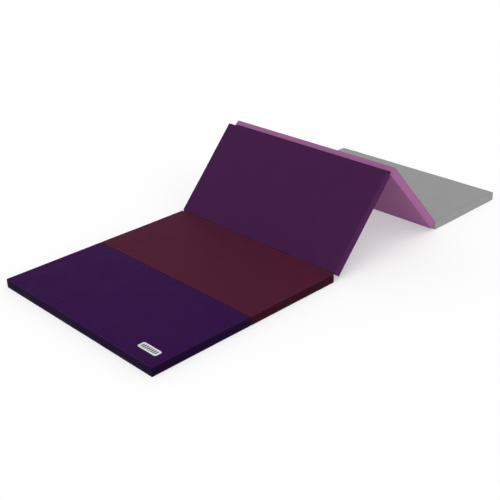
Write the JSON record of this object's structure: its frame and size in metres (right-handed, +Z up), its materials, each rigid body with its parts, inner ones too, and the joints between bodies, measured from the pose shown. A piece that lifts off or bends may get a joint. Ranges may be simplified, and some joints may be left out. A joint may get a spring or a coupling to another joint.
{
  "type": "folding gymnastics mat",
  "caption": "Folding gymnastics mat of padded vinyl panels joined by fabric hinges, flat at both ends with its middle panels propped up as a tent.",
  "frame": {"origin": "on the floor, at the middle of the standing mat's outline in length and width", "axes": "+X along the mat's length from the violet panel 1 to the grey panel 5, +Y across its width, +Z up"},
  "size_m": [2.6758, 1.2, 0.4932],
  "materials": {
    "vinyl_violet": "satin",
    "vinyl_wine": "satin",
    "vinyl_plum": "satin",
    "vinyl_mauve": "satin",
    "vinyl_grey": "satin",
    "foam": "matte",
    "label": "matte"
  },
  "bodies": {
    "panel_1": {"panel_1_foam_core": "foam", "panel_1_side_band": "vinyl_violet", "panel_1_bottom_sheet": "vinyl_violet", "panel_1_top_sheet": "vinyl_violet", "hinge_1_2_flap_1": "vinyl_violet", "label_patch": "label"},
    "panel_2": {"panel_2_foam_core": "foam", "panel_2_side_band": "vinyl_wine", "panel_2_bottom_sheet": "vinyl_wine", "panel_2_top_sheet": "vinyl_wine", "hinge_1_2_flap_2": "vinyl_wine", "hinge_2_3_flap_2": "vinyl_wine"},
    "panel_3": {"panel_3_foam_core": "foam", "panel_3_side_band": "vinyl_plum", "panel_3_bottom_sheet": "vinyl_plum", "panel_3_top_sheet": "vinyl_plum", "hinge_2_3_flap_3": "vinyl_plum", "hinge_3_4_flap_3": "vinyl_plum"},
    "panel_4": {"panel_4_foam_core": "foam", "panel_4_side_band": "vinyl_mauve", "panel_4_bottom_sheet": "vinyl_mauve", "panel_4_top_sheet": "vinyl_mauve", "hinge_3_4_flap_4": "vinyl_mauve", "hinge_4_5_flap_4": "vinyl_mauve"},
    "panel_5": {"panel_5_foam_core": "foam", "panel_5_side_band": "vinyl_grey", "panel_5_bottom_sheet": "vinyl_grey", "panel_5_top_sheet": "vinyl_grey", "hinge_4_5_flap_5": "vinyl_grey"},
    "hinge_1_2": {"hinge_1_2_web": "vinyl_violet"},
    "hinge_2_3": {"hinge_2_3_web": "vinyl_wine"},
    "hinge_3_4": {"hinge_3_4_web": "vinyl_plum"},
    "hinge_4_5": {"hinge_4_5_web": "vinyl_mauve"}
  },
  "joints": [
    {"name": "hinge_4_5_fold_5", "type": "hinge", "parent": "panel_5", "child": "hinge_4_5", "pos_m": [0.74047, 0, 0.0491], "axis": [0, 1, 0], "range_deg": [-24, 66]},
    {"name": "hinge_4_5_fold_4", "type": "hinge", "parent": "hinge_4_5", "child": "panel_4", "pos_m": [0.73773, 0, 0.05032], "axis": [0, 1, 0], "range_deg": [-24, 66]},
    {"name": "hinge_3_4_fold_4", "type": "hinge", "parent": "panel_4", "child": "hinge_3_4", "pos_m": [0.3019, 0, 0.46232], "axis": [0, -1, 0], "range_deg": [-48, 42]},
    {"name": "hinge_3_4_fold_3", "type": "hinge", "parent": "hinge_3_4", "child": "panel_3", "pos_m": [0.2989, 0, 0.46232], "axis": [0, -1, 0], "range_deg": [-48, 42]},
    {"name": "hinge_2_3_fold_3", "type": "hinge", "parent": "panel_3", "child": "hinge_2_3", "pos_m": [-0.13693, 0, 0.05032], "axis": [0, 1, 0], "range_deg": [-24, 66]},
    {"name": "hinge_2_3_fold_2", "type": "hinge", "parent": "hinge_2_3", "child": "panel_2", "pos_m": [-0.13967, 0, 0.0491], "axis": [0, 1, 0], "range_deg": [-24, 66]},
    {"name": "hinge_1_2_fold_2", "type": "hinge", "parent": "panel_2", "child": "hinge_1_2", "pos_m": [-0.73747, 0, 0.0009], "axis": [0, -1, 0], "range_deg": [0, 90]},
    {"name": "hinge_1_2_fold_1", "type": "hinge", "parent": "hinge_1_2", "child": "panel_1", "pos_m": [-0.74047, 0, 0.0009], "axis": [0, -1, 0], "range_deg": [0, 90]}
  ]
}
